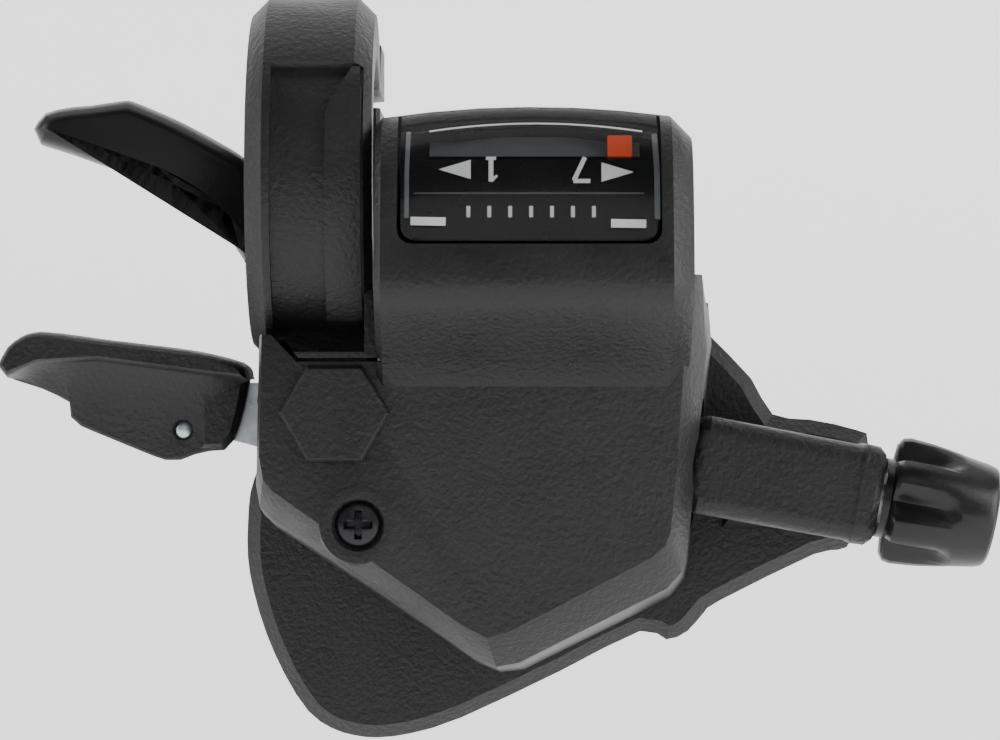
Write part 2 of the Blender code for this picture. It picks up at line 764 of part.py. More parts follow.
def release_bush():
    """Flanged bush of the release shaft in the back cover."""
    return turned(
        [(1.75, 12.2), (3.1, 12.2), (3.1, BASE_BACK_Y - 0.1), (1.75, BASE_BACK_Y - 0.1)],
        on_y(RELEASE_PIVOT), 28, hollow=True,
    )


def axle_nut():
    hexagon = [polar(MAIN_PIVOT, 2.9, 60 * i + 10) for i in range(6)]
    nut = along_y(hexagon, -10.1, -10.0 + 0.9)
    return cut(nut, rod(on_y(MAIN_PIVOT), 2.0, -12.0, -8.0))


def port_plug():
    """Soft plug in the hole through which the inner cable is threaded."""
    return rod(on_cable(), 2.0, -58.0, -55.9, 20)


# ---------------------------------------------------------------- springs
def coil(centre, radius, front, back, turns, start, gauge, legs):
    """Torsion spring on a Y axis; legs are the (X, Y, Z) ends of the wire."""
    steps = int(turns * 20)
    points = [legs[0]]
    for i in range(steps + 1):
        part = i / steps
        x, z = polar(centre, radius, start + 360.0 * turns * part)
        points.append((x, front + (back - front) * part, z))
    points.append(legs[1])
    return wire(points, gauge)


def wind_spring():
    x, z = MAIN_PIVOT
    legs = ((x - 7.6, 4.75, z + 3.6), (x + 6.6, 5.6, z - 3.6))
    return coil(MAIN_PIVOT, 5.6, 4.75, 5.6, 1.4, 150.0, 0.35, legs)


def release_spring():
    x, z = RELEASE_PIVOT
    legs = ((x - 3.3, 8.5, z - 4.4), (x + 3.6, 11.7, z + 1.9))
    return coil(RELEASE_PIVOT, 2.6, 8.5, 11.7, 3.4, 170.0, 0.35, legs)


def drum_spring():
    """Flat spiral spring in front of the drum."""
    points = []
    for i in range(61):
        part = i / 60
        x, z = polar(MAIN_PIVOT, 5.3 + 1.9 * part, 30.0 + 820.0 * part)
        points.append((x, -5.68, z))
    return wire(points, 0.22, 4)


def hold_pawl_spring():
    x, z = HOLD_PAWL_PIVOT
    legs = ((x - 5.2, 0.95, z + 1.7), (x + 3.4, 1.75, z + 2.4))
    return coil(HOLD_PAWL_PIVOT, 1.65, 0.95, 1.75, 2.0, 150.0, 0.18, legs)


def wind_pawl_spring():
    x, z = WIND_PAWL_PIVOT
    legs = ((x - 1.5, -0.45, z + 3.4), (x + 1.9, 0.15, z - 0.6))
    return coil(WIND_PAWL_PIVOT, 1.45, -0.45, 0.15, 1.6, 100.0, 0.18, legs)


def adjuster_spring():
    place = on_cable()
    points = []
    for i in range(81):
        part = i / 80
        angle = 2.0 * math.pi * 5.0 * part
        points.append(place @ Vector((2.98 * math.cos(angle), 2.98 * math.sin(angle), -4.2 + 4.0 * part)))
    return wire(points, 0.25)


# ---------------------------------------------------------------- winding lever
def wind_arm():
    arm = along_y(WIND_ARM_OUTLINE, ARM_Y[0], ARM_Y[1])
    return cut(
        arm,
        rod(on_y(MAIN_PIVOT), 3.6, 0.0, 6.0),
        rod(on_y(wind_rivet_centre()), 0.8, 0.0, 6.0, 16),
        rod(on_y(WIND_PAWL_PIVOT), 1.2, 0.0, 6.0, 16),
    )


def wind_rivet_centre():
    return (-12.4, -23.3)


def wind_bush():
    return turned(
        [
            (2.3, 1.9), (4.6, 1.9), (4.6, ARM_Y[0] - 0.08), (3.3, ARM_Y[0] - 0.08),
            (3.3, 5.5), (2.3, 5.5),
        ],
        on_y(MAIN_PIVOT), 28, hollow=True,
    )


def wind_rivet():
    return turned(
        [
            (0.0, -0.25), (0.55, -0.15), (0.87, 0.1), (0.5, 0.1), (0.5, 4.1), (1.0, 4.1),
            (0.8, 4.6), (0.0, 4.6),
        ],
        on_y(wind_rivet_centre()), 20,
    )


def wind_pad():
    """Thumb pad: a broad curved rim that coves down to a thin web, and a root block."""
    top = rounded(PAD_TOP_LINE, 2)
    rim_outline = top + resampled(PAD_RIM_LINE, 22)
    web_outline = top + resampled(PAD_WEB_LINE, 22)
    pad = loft_y([
        (-4.3, inset(rim_outline, 0.5)),
        (-4.0, inset(rim_outline, 0.25)),
        (-3.3, inset(rim_outline, 0.08)),
        (-2.6, rim_outline),
        (-1.7, blend(rim_outline, web_outline, 0.14)),
        (-0.9, blend(rim_outline, web_outline, 0.34)),
        (-0.3, blend(rim_outline, web_outline, 0.62)),
        (0.05, inset(web_outline, 0.25)),
        (0.3, web_outline),
        (ARM_Y[0] - FIT, web_outline),
    ])
    back = loft_y([
        (1.0, rim_outline), (7.8, rim_outline), (8.7, inset(rim_outline, 0.2)),
        (9.2, inset(rim_outline, 0.5)),
    ])
    root = [(-10.7, -17.4), (-6.7, -17.9), (-6.55, -18.8), (-7.0, -21.4), (-7.6, -23.6)]
    root += [(-8.2, -24.5), (-8.9, -25.0), (-10.7, -25.0)]
    root = loft_y([(-0.9, inset(root, 0.4)), (-0.4, root), (1.0, root)])
    pad = add(pad, back, root)
    return cut(
        pad,
        rod(on_y(wind_rivet_centre()), 0.7, -2.0, 6.0, 16),
        rod(on_y(wind_rivet_centre()), 1.0, -3.0, 0.14, 16),
    )


def wind_pawl_pin():
    return turned(
        [(0.0, -0.68), (0.9, -0.68), (0.9, ARM_Y[1] + 0.2), (0.0, ARM_Y[1] + 0.2)],
        on_y(WIND_PAWL_PIVOT), 16,
    )


def wind_pawl():
    tip = polar(MAIN_PIVOT, RATCHET_R + 0.45, 24.0)
    x, z = WIND_PAWL_PIVOT
    outline = arc(WIND_PAWL_PIVOT, 2.3, -150, 40, 8)
    outline += [(tip[0] + 1.5, tip[1] + 0.9), (tip[0] + 0.1, tip[1] + 0.9), tip]
    outline += [(tip[0] + 1.6, tip[1] - 1.9)]
    pawl = along_y(outline, 0.5, RATCHET_Y[1])
    return cut(pawl, rod(on_y((x, z)), 1.2, -2.0, 4.0, 16))


# ---------------------------------------------------------------- release lever
def release_pad():
    outline = rounded(RELEASE_OUTLINE, 2)
    blade = loft_y([
        (14.6, inset(outline, 1.5)),
        (14.9, inset(outline, 0.9)),
        (15.5, inset(outline, 0.4)),
        (16.6, inset(outline, 0.05)),
        (17.6, outline),
        (20.6, outline),
        (21.6, inset(outline, 0.3)),
        (22.2, inset(outline, 0.9)),
    ])
    neck = loft_y([
        (LEVER_BACK_Y[0], RELEASE_NECK_OUTLINE),
        (LEVER_BACK_Y[1] - 0.7, RELEASE_NECK_OUTLINE),
        (LEVER_BACK_Y[1], inset(RELEASE_NECK_OUTLINE, 0.7)),
    ])
    hub = turned(
        [(0.0, 16.3), (4.9, 16.3), (4.9, 21.0), (4.3, 21.6), (0.0, 21.6)], on_y(RELEASE_PIVOT), 32
    )
    lever = add(blade, neck, hub)
    return cut(lever, rod(on_y(RELEASE_PIVOT), 1.7, 10.0, 19.8))


def release_shaft():
    return turned(
        [
            (0.0, -9.9), (1.0, -9.9), (1.0, -1.1), (1.4, -1.1), (1.4, 19.5), (0.0, 19.5),
        ],
        on_y(RELEASE_PIVOT), 20,
    )


def release_trip():
    """Steel finger on the release shaft that lifts the holding pawl."""
    x, z = RELEASE_PIVOT
    outline = arc(RELEASE_PIVOT, 2.4, 60, 250, 10)
    outline += [(x + 4.4, z - 3.4), (x + 9.3, z - 4.9), (x + 10.2, z - 4.4), (x + 10.0, z - 3.6)]
    outline += [(x + 4.6, z - 0.2)]
    trip = along_y(outline, -0.6, 0.5)
    return cut(trip, rod(on_y(RELEASE_PIVOT), 1.7, -2.0, 2.0, 20))


def release_clip():
    """Retaining ring on the release shaft inside the base plate."""
    outline = arc(RELEASE_PIVOT, 2.6, -60, 240, 14) + arc(RELEASE_PIVOT, 1.65, 240, -60, 14)
    return along_y(outline, 7.75, 8.15)


# ---------------------------------------------------------------- cable drum and pawls
def hold_pawl():
    x, z = HOLD_PAWL_PIVOT
    tip = polar(MAIN_PIVOT, RATCHET_R + 0.45, 99.0)
    outline = arc(HOLD_PAWL_PIVOT, 2.2, -110, 100, 8)
    outline += [(x - 6.0, z + 1.3), (x - 10.4, z + 0.2), (x - 10.6, z - 1.0), (tip[0] - 1.3, z - 1.2)]
    outline += [tip, (tip[0] + 1.5, z - 1.4)]
    pawl = along_y(outline, -0.6, 0.5)
    return cut(pawl, rod(on_y((x, z)), 1.3, -2.0, 2.0, 16))


def cable_drum():
    """Sector with a cable groove: wide flanges only where the cable is wound."""
    hub = turned([(4.55, DRUM_Y[0]), (7.2, DRUM_Y[0]), (7.2, DRUM_Y[1]), (4.55, DRUM_Y[1])],
                 on_y(MAIN_PIVOT), 40, hollow=True)
    outer = arc(MAIN_PIVOT, DRUM_R + 0.7, -12, 93, 24) + arc(MAIN_PIVOT, 5.6, 93, -12, 12)
    sector = along_y(outer, DRUM_Y[0], DRUM_Y[1])
    groove_profile = [(10.8, CABLE_Y - 0.35), (10.8, CABLE_Y + 0.35), (13.0, CABLE_Y + 1.2)]
    groove_profile += [(13.0, CABLE_Y - 1.2)]
    groove = turned(groove_profile, on_y(MAIN_PIVOT), 64, hollow=True)
    drum = add(hub, sector)
    seat = polar(MAIN_PIVOT, DRUM_R - 1.4, 86.0)
    return cut(drum, groove, rod(on_y(seat), 1.6, CABLE_Y - 1.2, 1.0, 16))


def ratchet_wheel():
    points = []
    for i in range(RATCHET_TEETH):
        step = 360.0 / RATCHET_TEETH
        points.append(polar(MAIN_PIVOT, RATCHET_R, i * step))
        points.append(polar(MAIN_PIVOT, RATCHET_R - 1.1, i * step + step * 0.12))
        points.append(polar(MAIN_PIVOT, RATCHET_R - 0.6, i * step + step * 0.60))
    wheel = along_y(points, RATCHET_Y[0], RATCHET_Y[1])
    return cut(wheel, rod(on_y(MAIN_PIVOT), 4.55, -2.0, 3.0))


def drum_sleeve():
    """Sleeve on the axle that ties the pinion, drum and ratchet wheel together."""
    return tube(on_y(MAIN_PIVOT), 2.3, 4.25, PINION_Y[0] + 1.8, RATCHET_Y[1], 32)


def drum_pinion():
    """Sector gear with teeth only where they meet the rack."""
    root, tip = INDICATOR_RATIO_MM - 1.0, INDICATOR_RATIO_MM + 0.7
    step = math.degrees(RACK_PITCH / INDICATOR_RATIO_MM)
    outline = []
    for i in range(6):
        middle = 90.0 - step * (5 - i)
        outline += [polar(MAIN_PIVOT, root, middle - 0.36 * step)]
        outline += [polar(MAIN_PIVOT, root, middle - 0.20 * step)]
        outline += [polar(MAIN_PIVOT, tip, middle - 0.07 * step)]
        outline += [polar(MAIN_PIVOT, tip, middle + 0.07 * step)]
        outline += [polar(MAIN_PIVOT, root, middle + 0.20 * step)]
    outline += [polar(MAIN_PIVOT, root, 96.0)]
    outline += arc(MAIN_PIVOT, 4.6, 130, 320, 12)
    gear = along_y(outline, PINION_Y[0] + 0.1, PINION_Y[1])
    return cut(gear, rod(on_y(MAIN_PIVOT), 3.6, -12.0, -6.0))


# ---------------------------------------------------------------- indicator
def indicator_slider():
    """Rack above the pinion and a strip that climbs through the hump to the flag."""
    line = MAIN_PIVOT[1] + INDICATOR_RATIO_MM
    outline = [(33.0, line + 3.4), (13.6, line + 3.4), (13.6, line + 1.0)]
    for i in range(6):
        middle = MAIN_PIVOT[0] + RACK_PITCH * (i + 0.5) - RACK_PITCH
        outline += [(middle - 0.75, line + 1.0), (middle - 0.35, line - 0.7)]
        outline += [(middle + 0.35, line - 0.7), (middle + 0.75, line + 1.0)]
    outline += [(33.0, line + 1.0)]
    rack = along_y(outline, PINION_Y[0] + 0.1, PINION_Y[1])
    path = [(-9.8, -21.6), (-9.8, -18.9), (-13.6, -14.4), (-17.0, -9.0), (-17.4, -3.0), (-16.0, 0.2)]
    path += [(-15.2, 0.2), (-16.4, -3.4), (-16.0, -8.6), (-12.6, -13.4), (-8.8, -18.2), (-8.8, -21.6)]
    return add(rack, along_x(path, 26.2, 29.8))


def indicator_flag():
    strip = [(-16.5, 1.3), (-15.2, 3.3), (-14.75, 3.0), (-16.0, 1.05)]
    return along_x(strip, 26.8, 29.0)


# ---------------------------------------------------------------- cable adjuster
def adjuster_insert():
    return tube(on_cable(), 2.6, 3.45, -8.4, -4.7, 24)


def adjuster_barrel():
    profile = [(0.9, -8.2), (2.3, -8.2), (2.3, 0.6), (3.2, 0.6), (3.2, 10.4), (2.85, 10.6)]
    profile += [(2.85, 3.6), (0.9, 3.6)]
    return turned(profile, on_cable(), 24, hollow=True)


def knob_ring(place, length, radius, lobe):
    """One section of the knob; lobe is the depth of its six scoops."""
    ring = []
    steps = 60
    for i in range(steps):
        angle = 2.0 * math.pi * i / steps
        local = radius - lobe * (0.5 - 0.5 * math.cos(6.0 * angle)) ** 2.2
        ring.append(place @ Vector((local * math.cos(angle), local * math.sin(angle), length)))
    return ring


def adjuster_knob():
    place = on_cable()
    knob = skin([
        knob_ring(place, 0.35, 3.7, 0.0), knob_ring(place, 1.0, 3.7, 0.0),
        knob_ring(place, 1.1, 5.2, 1.15), knob_ring(place, 1.5, 5.75, 1.65),
        knob_ring(place, 2.2, 5.9, 1.75), knob_ring(place, 4.2, 5.75, 1.45),
        knob_ring(place, 5.6, 5.55, 1.05), knob_ring(place, 6.8, 5.35, 0.45),
        knob_ring(place, 7.5, 5.2, 0.0), knob_ring(place, 9.9, 4.8, 0.0),
        knob_ring(place, 10.5, 4.6, 0.0), knob_ring(place, 10.8, 4.25, 0.0),
    ])
    return cut(knob, rod(place, 3.5, -1.0, 12.0, 24))


def housing_ferrule():
    profile = [(0.8, 3.9), (2.55, 3.9), (2.55, 10.3), (2.15, 10.3), (2.15, 4.6), (0.8, 4.6)]
    return turned(profile, on_cable(), 24, hollow=True)


# ---------------------------------------------------------------- assembly
def clear_scene():
    for item in list(bpy.data.objects):
        bpy.data.objects.remove(item)


def build():
    clear_scene()
    plastic, gloss, lever = textured_black(), gloss_black(), lever_black()
    steel, dark, spring = zinc_steel(), black_steel(), spring_steel()
    acetal = acetal_grey()

    piece("front_cover", front_cover(), plastic)
    piece("bottom_cover", bottom_cover(), plastic)
    piece("cable_stop", cable_stop(), plastic)
    piece("clamp_band", clamp_band(), plastic)
    piece("clamp_bolt", clamp_bolt(), dark, (0.0, BOLT_Y, LUG_TOP_Z))
    piece("clamp_nut", clamp_nut(), steel, (0.0, BOLT_Y, LUG_BOTTOM_Z))
    piece("hex_cap", hex_cap(), plastic, at_release(FACE_Y))
    piece("cover_screw", cover_screw(), dark)
    for number, centre in enumerate(base_screw_centres(), 1):
        piece(f"base_screw_{number}", base_screw(centre), dark)
    piece("main_axle", main_axle(), steel, at_main())
    piece("axle_nut", axle_nut(), steel, at_main())
    piece("indicator_lens", lens(), window_clear())
    piece("indicator_dial", dial(), dial_black())
    piece("base_plate", base_plate(), steel)
    piece("mech_plate", mech_plate(), steel)
    piece("hold_pawl_pin", hold_pawl_pin(), steel)
    piece("release_bush", release_bush(), acetal)
    piece("cable_port_plug", port_plug(), plug_rubber())
    piece("adjuster_insert", adjuster_insert(), brass(), CABLE_END)
    piece("release_spring", release_spring(), spring, at_release())
    piece("wind_spring", wind_spring(), spring, at_main())
    piece("drum_spring", drum_spring(), spring, at_main())
    piece("hold_pawl_spring", hold_pawl_spring(), spring)
    piece("adjuster_spring", adjuster_spring(), spring, CABLE_END)

    piece("wind_arm", wind_arm(), steel, at_main())
    piece("wind_bush", wind_bush(), acetal, at_main())
    piece("wind_rivet", wind_rivet(), steel, at_main())
    piece("wind_pad", wind_pad(), plastic, at_main())
    piece("wind_pawl_pin", wind_pawl_pin(), steel, at_main())
    pawl_origin = (WIND_PAWL_PIVOT[0], 0.0, WIND_PAWL_PIVOT[1])
    piece("wind_pawl", wind_pawl(), dark, pawl_origin)
    piece("wind_pawl_spring", wind_pawl_spring(), spring, pawl_origin)

    piece("release_pad", release_pad(), lever, at_release())
    piece("release_shaft", release_shaft(), steel, at_release())
    piece("release_trip", release_trip(), steel, at_release())
    piece("release_clip", release_clip(), spring, at_release())
    piece("hold_pawl", hold_pawl(), dark, (HOLD_PAWL_PIVOT[0], 0.0, HOLD_PAWL_PIVOT[1]))

    piece("cable_drum", cable_drum(), acetal, at_main())
    piece("ratchet_wheel", ratchet_wheel(), dark, at_main())
    piece("drum_sleeve", drum_sleeve(), steel, at_main())
    piece("drum_pinion", drum_pinion(), acetal, at_main())
    piece("indicator_slider", indicator_slider(), slider_grey())
    piece("indicator_flag", indicator_flag(), flag_orange())

    piece("adjuster_barrel", adjuster_barrel(), steel, CABLE_END)
    piece("adjuster_knob", adjuster_knob(), gloss, CABLE_END)
    piece("housing_ferrule", housing_ferrule(), steel, CABLE_END)


build()
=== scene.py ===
import bmesh
import bpy
import json
import math
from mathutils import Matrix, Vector


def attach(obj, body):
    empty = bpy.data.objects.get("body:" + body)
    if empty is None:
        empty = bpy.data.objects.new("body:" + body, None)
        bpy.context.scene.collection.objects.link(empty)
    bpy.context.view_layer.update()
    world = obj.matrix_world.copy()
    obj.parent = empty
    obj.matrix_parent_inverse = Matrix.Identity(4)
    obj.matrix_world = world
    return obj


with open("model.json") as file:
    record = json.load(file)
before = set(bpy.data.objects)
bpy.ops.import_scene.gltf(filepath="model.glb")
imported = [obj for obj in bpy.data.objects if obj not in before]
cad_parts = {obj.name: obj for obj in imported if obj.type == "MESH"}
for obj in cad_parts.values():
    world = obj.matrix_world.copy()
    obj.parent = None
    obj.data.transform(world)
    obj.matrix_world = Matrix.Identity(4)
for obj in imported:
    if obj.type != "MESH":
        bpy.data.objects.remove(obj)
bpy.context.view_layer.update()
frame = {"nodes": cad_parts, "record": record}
MM = 0.001
PLASTIC_IOR = 1.42
NODES = frame["nodes"]


# ---------------------------------------------------------------- materials
def shader_material(name):
    material = bpy.data.materials.new(name)
    material.use_nodes = True
    tree = material.node_tree
    return material, tree, tree.nodes["Principled BSDF"]


def noise(tree, coordinates, scale, detail=3.0, roughness=0.5):
    node = tree.nodes.new("ShaderNodeTexNoise")
    node.inputs["Scale"].default_value = scale
    node.inputs["Detail"].default_value = detail
    node.inputs["Roughness"].default_value = roughness
    tree.links.new(coordinates, node.inputs["Vector"])
    return node.outputs["Fac"]


def ramp(tree, value, low, high, start=0.35, end=0.65):
    node = tree.nodes.new("ShaderNodeMapRange")
    node.inputs["From Min"].default_value = start
    node.inputs["From Max"].default_value = end
    node.inputs["To Min"].default_value = low
    node.inputs["To Max"].default_value = high
    tree.links.new(value, node.inputs["Value"])
    return node.outputs["Result"]


def mix_colour(tree, value, first, second):
    node = tree.nodes.new("ShaderNodeMix")
    node.data_type = "RGBA"
    node.inputs[6].default_value = (*first, 1.0)
    node.inputs[7].default_value = (*second, 1.0)
    tree.links.new(value, node.inputs[0])
    return node.outputs[2]


def bump(tree, shader, height, strength, depth):
    node = tree.nodes.new("ShaderNodeBump")
    node.inputs["Strength"].default_value = strength
    node.inputs["Distance"].default_value = depth
    tree.links.new(height, node.inputs["Height"])
    tree.links.new(node.outputs["Normal"], shader.inputs["Normal"])


def surface(name, dark, light, rough_low, rough_high, metallic=0.0, grain=3200.0, strength=0.0,
            depth=0.00006, patch=160.0, ior=1.5):
    """Material with uneven colour and gloss and, where strength is over 0, a fine grain."""
    material, tree, shader = shader_material(name)
    place = tree.nodes.new("ShaderNodeTexCoord").outputs["Object"]
    broad = noise(tree, place, patch, 4.0, 0.6)
    fine = noise(tree, place, grain, 2.0, 0.55)
    colour = mix_colour(tree, ramp(tree, broad, 0.0, 1.0), dark, light)
    tree.links.new(colour, shader.inputs["Base Color"])
    tree.links.new(ramp(tree, broad, rough_low, rough_high), shader.inputs["Roughness"])
    shader.inputs["Metallic"].default_value = metallic
    shader.inputs["IOR"].default_value = ior
    if strength > 0.0:
        bump(tree, shader, fine, strength, depth)
    return material


def lens_material():
    material, tree, shader = shader_material("window_glaze")
    place = tree.nodes.new("ShaderNodeTexCoord").outputs["Object"]
    smear = noise(tree, place, 260.0, 4.0, 0.6)
    shader.inputs["Base Color"].default_value = (0.010, 0.010, 0.011, 1.0)
    tree.links.new(ramp(tree, smear, 0.03, 0.07), shader.inputs["Roughness"])
    shader.inputs["IOR"].default_value = 1.6
    shader.inputs["Alpha"].default_value = 0.16
    return material


TEXTURED = surface("moulded_textured", (0.0080, 0.0080, 0.0086), (0.0115, 0.0115, 0.0122), 0.42, 0.52,
                   grain=1900.0, strength=1.0, depth=0.00012, ior=PLASTIC_IOR)
SMOOTH = surface("moulded_satin", (0.0055, 0.0055, 0.0060), (0.0085, 0.0085, 0.0090), 0.28, 0.38,
                 grain=2600.0, strength=0.3, depth=0.00005, ior=PLASTIC_IOR)
DIAL = surface("dial_printed", (0.0016, 0.0016, 0.0018), (0.0024, 0.0024, 0.0026), 0.20, 0.30)
# white for the dial prints and for the painted highlights on the window
WHITE = surface("print_and_highlight_white", (0.74, 0.75, 0.76), (0.84, 0.85, 0.86), 0.45, 0.55)
GREY_PRINT = surface("print_grey", (0.085, 0.09, 0.095), (0.11, 0.115, 0.12), 0.45, 0.55)
# grey of the painted highlight along the window's sides
LENS_EDGE_HIGHLIGHT = surface("window_edge_highlight", (0.10, 0.11, 0.12), (0.17, 0.18, 0.19), 0.18, 0.30)
ORANGE = surface("flag_paint", (0.90, 0.085, 0.018), (0.98, 0.11, 0.026), 0.38, 0.48)
SLIDER = surface("slider_plastic", (0.03, 0.03, 0.032), (0.045, 0.045, 0.048), 0.5, 0.6)
ZINC = surface("zinc_plate", (0.42, 0.45, 0.46), (0.62, 0.66, 0.67), 0.26, 0.46, 1.0,
               grain=2400.0, strength=0.16, depth=0.00004, patch=420.0)
DARK_STEEL = surface("blacked_steel", (0.018, 0.018, 0.020), (0.030, 0.030, 0.033), 0.24, 0.36, 0.6,
                     grain=2600.0, strength=0.10, depth=0.00003)
WIRE = surface("spring_wire", (0.34, 0.34, 0.36), (0.46, 0.46, 0.48), 0.22, 0.34, 1.0)
ACETAL = surface("acetal", (0.24, 0.25, 0.26), (0.30, 0.31, 0.32), 0.42, 0.54)
BRASS = surface("turned_brass", (0.55, 0.40, 0.15), (0.66, 0.50, 0.22), 0.28, 0.40, 1.0)
RUBBER = surface("plug_soft", (0.014, 0.014, 0.014), (0.020, 0.020, 0.020), 0.70, 0.85)
GLAZE = lens_material()

FINISH = {
    "textured_black": TEXTURED, "gloss_black": SMOOTH, "lever_black": SMOOTH,
    "window_clear": GLAZE, "dial_black": DIAL, "flag_orange": ORANGE, "slider_grey": SLIDER,
    "acetal_grey": ACETAL, "zinc_steel": ZINC, "black_steel": DARK_STEEL, "spring_steel": WIRE,
    "brass": BRASS, "plug_rubber": RUBBER,
}


# ---------------------------------------------------------------- CAD nodes
BEVELS = {
    "front_cover": 0.55, "bottom_cover": 0.35, "clamp_band": 0.35, "cable_stop": 0.4,
    "wind_pad": 0.35, "release_pad": 0.5, "hex_cap": 0.22, "indicator_lens": 0.2,
    "cover_screw": 0.08, "adjuster_knob": 0.2, "wind_arm": 0.2,
}
SMALL_BEVEL = 0.12
WELD_DISTANCE = 0.000002
BEVEL_ANGLE = 28.0
# pieces with broad curved faces keep plain smooth shading
BROAD = ("front_cover", "release_pad", "adjuster_knob", "indicator_lens", "clamp_band")


def dress(node, material, width):
    node.data.materials.clear()
    node.data.materials.append(material)
    node.data.shade_smooth()
    weld = node.modifiers.new("weld", "WELD")
    weld.merge_threshold = WELD_DISTANCE
    bevel = node.modifiers.new("edges", "BEVEL")
    bevel.width = width * MM
    bevel.segments = 3
    bevel.limit_method = "ANGLE"
    bevel.angle_limit = math.radians(BEVEL_ANGLE)
    bevel.harden_normals = node.name not in BROAD
    if node.name in BROAD:
        return
    normals = node.modifiers.new("normals", "WEIGHTED_NORMAL")
    normals.keep_sharp = True
    normals.weight = 80


def dress_nodes():
    slots = {s["node"]: s["material_slot"] for s in frame["record"]["subparts"]}
    for name, node in NODES.items():
        dress(node, FINISH[slots[name]], BEVELS.get(name, SMALL_BEVEL))


# ---------------------------------------------------------------- dial prints and painted highlights on the window
# (Y, Z) line of the window's outside, top to bottom, in millimetres
HUMP_LINE = [
    (-13.0, 6.0), (-15.2, 5.4), (-17.0, 4.2), (-18.5, 2.2), (-19.5, 0.0), (-20.4, -3.2),
    (-21.0, -6.5), (-21.5, -9.3),
]
# the window's top drops towards both ends of X, and not at all below CROWN_FOOT_Z
CROWN_DROP = 1.1
CROWN_MIDDLE_X = 20.2
CROWN_HALF_WIDTH = 14.1
CROWN_FOOT_Z = -6.5
CROWN_HEIGHT = 12.5
# depths of the dial prints and of the painted highlights under the window's outside
LENS_DEPTH = 1.0
ARC_DEPTH = 0.95
DIAL_DEPTH = 1.42
TRACK_DEPTH = 2.6
STRIP_STEP = 0.4
TICKS = 7
TICK_X = 14.4
TICK_PITCH = 1.85
# shape of the painted reflection line along the window's top
ARC_STEPS = 12
ARC_X = 10.9
ARC_LENGTH = 19.0
ARC_TOP_Z = 4.35
ARC_SAG = 0.75


def eased(points, steps):
    """Smooth curve through the points."""
    curve = []
    for i in range(len(points) - 1):
        before, here = Vector(points[max(i - 1, 0)]), Vector(points[i])
        there, after = Vector(points[i + 1]), Vector(points[min(i + 2, len(points) - 1)])
        for j in range(steps):
            t = j / steps
            point = 2.0 * here + (there - before) * t
            point += (2.0 * before - 5.0 * here + 4.0 * there - after) * t ** 2
            point += (3.0 * here - before - 3.0 * there + after) * t ** 3
            curve.append(tuple(point * 0.5))
    return curve + [points[-1]]


def hump_y(x, z, depth):
    """Y of the surface that lies depth under the window's outside, at (x, z)."""
    crown = CROWN_DROP * ((x - CROWN_MIDDLE_X) / CROWN_HALF_WIDTH) ** 2
    line = []
    curve = eased(HUMP_LINE, 3)
    for i, (y, height) in enumerate(curve):
        before = Vector(curve[max(i - 1, 0)])
        after = Vector(curve[min(i + 1, len(curve) - 1)])
        along = (after - before).normalized()
        inward = Vector((-along.y, along.x))
        if inward.x < 0:
            inward = -inward
        low = height + inward.y * depth
        low -= crown * min(max((low - CROWN_FOOT_Z) / CROWN_HEIGHT, 0.0), 1.0)
        line.append((y + inward.x * depth, low))
    for (ya, za), (yb, zb) in zip(line, line[1:]):
        if zb <= z <= za:
            return ya + (yb - ya) * (za - z) / (za - zb)
    return line[0][0] if z > line[0][1] else line[-1][0]


def window_strip(name, strokes, material, depth=DIAL_DEPTH, thick=0.05):
    """Thin strip that follows the window, for the dial prints and the painted highlights; each stroke
    is (points, width at start, width at end).
    """
    bm = bmesh.new()
    for points, start_width, end_width in strokes:
        track = []
        for a, b in zip(points, points[1:]):
            a, b = Vector(a), Vector(b)
            count = max(int((b - a).length / STRIP_STEP), 1)
            track += [a.lerp(b, i / count) for i in range(count)]
        track.append(Vector(points[-1]))
        rows = []
        for i, point in enumerate(track):
            ahead = track[min(i + 1, len(track) - 1)] - track[max(i - 1, 0)]
            side = Vector((-ahead.y, ahead.x)).normalized()
            width = start_width + (end_width - start_width) * i / (len(track) - 1)
            row = []
            for level in (depth, depth + thick):
                for sign in (-0.5, 0.5):
                    x, z = point + side * (width * sign)
                    row.append(bm.verts.new((x * MM, hump_y(x, z, level) * MM, z * MM)))
            rows.append((row[0], row[1], row[3], row[2]))
        for low, high in zip(rows, rows[1:]):
            for i in range(4):
                j = (i + 1) % 4
                bm.faces.new((low[i], low[j], high[j], high[i]))
        bm.faces.new(rows[0])
        bm.faces.new(rows[-1])
    bmesh.ops.recalc_face_normals(bm, faces=bm.faces)
    mesh = bpy.data.meshes.new(name)
    bm.to_mesh(mesh)
    bm.free()
    mesh.materials.append(material)
    thing = bpy.data.objects.new(name, mesh)
    bpy.context.scene.collection.objects.link(thing)
    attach(thing, "housing")


# painted reflection: thin white line where the window curves over at the top
def arc_points():
    half = ARC_STEPS / 2
    return [
        (ARC_X + ARC_LENGTH * i / ARC_STEPS, ARC_TOP_Z - ARC_SAG * ((i - half) / half) ** 2)
        for i in range(ARC_STEPS + 1)
    ]


def tick_strokes():
    places = [TICK_X + TICK_PITCH * i for i in range(TICKS)]
    return [([(x, -4.2), (x, -3.2)], 0.34, 0.34) for x in places]


